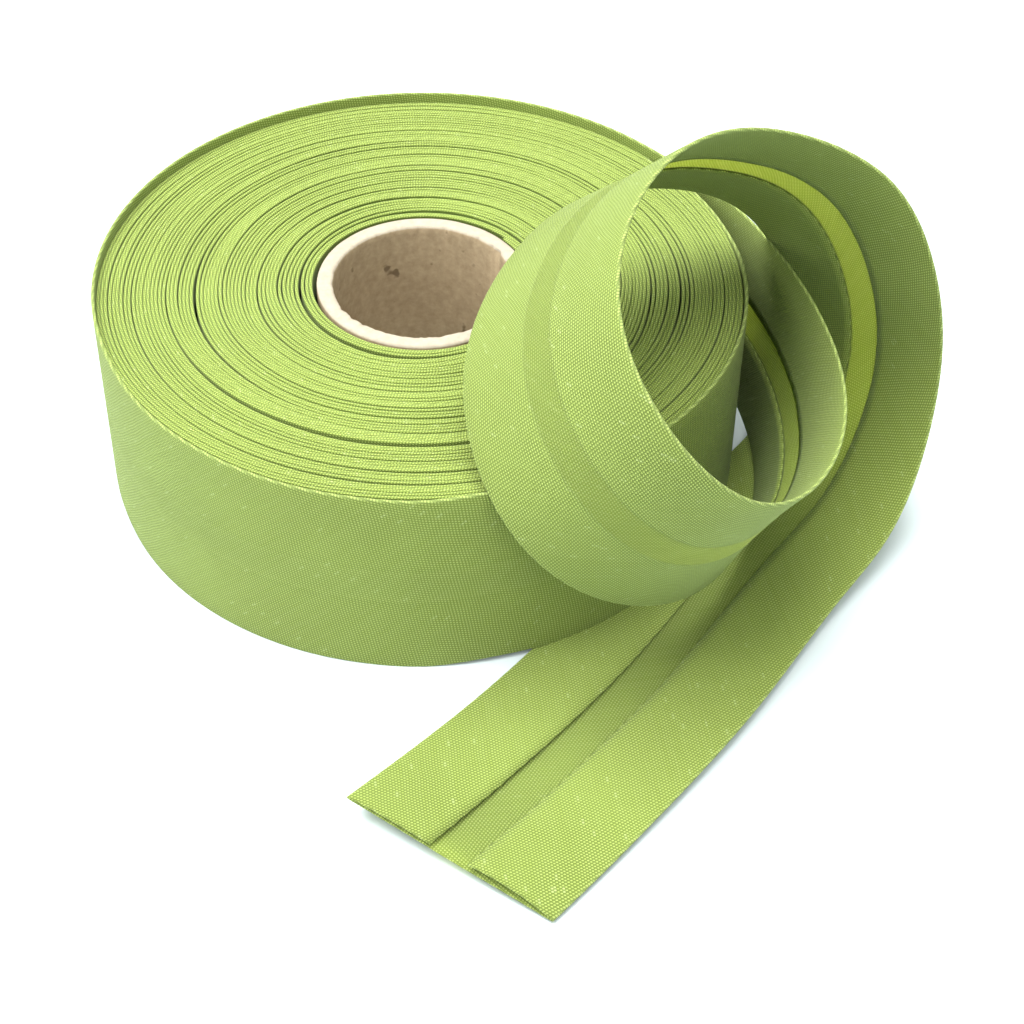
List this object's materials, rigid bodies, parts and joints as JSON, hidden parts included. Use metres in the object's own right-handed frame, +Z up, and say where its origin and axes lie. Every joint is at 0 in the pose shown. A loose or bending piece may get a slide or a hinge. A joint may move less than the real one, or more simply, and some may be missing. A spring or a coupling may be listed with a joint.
{
  "type": "roll of bias binding",
  "caption": "Roll of lime green single-fold cotton bias binding on a cardboard core, lying flat with its loose end looped over the rim and out along the surface.",
  "frame": {"origin": "middle of the footprint on the resting surface, loose end included", "axes": "+Z up along the roll's axis, the cut end of the tape towards -Y, the loop towards +X"},
  "size_m": [0.1169, 0.133, 0.0671],
  "materials": {
    "core_card": "plain unbleached board, matt",
    "cotton_tape": "lime green plain weave cotton cut on the bias, matt"
  },
  "bodies": {
    "root": {"core": "core_card", "wound_tape": "cotton_tape", "loose_end": "cotton_tape"}
  },
  "joints": []
}
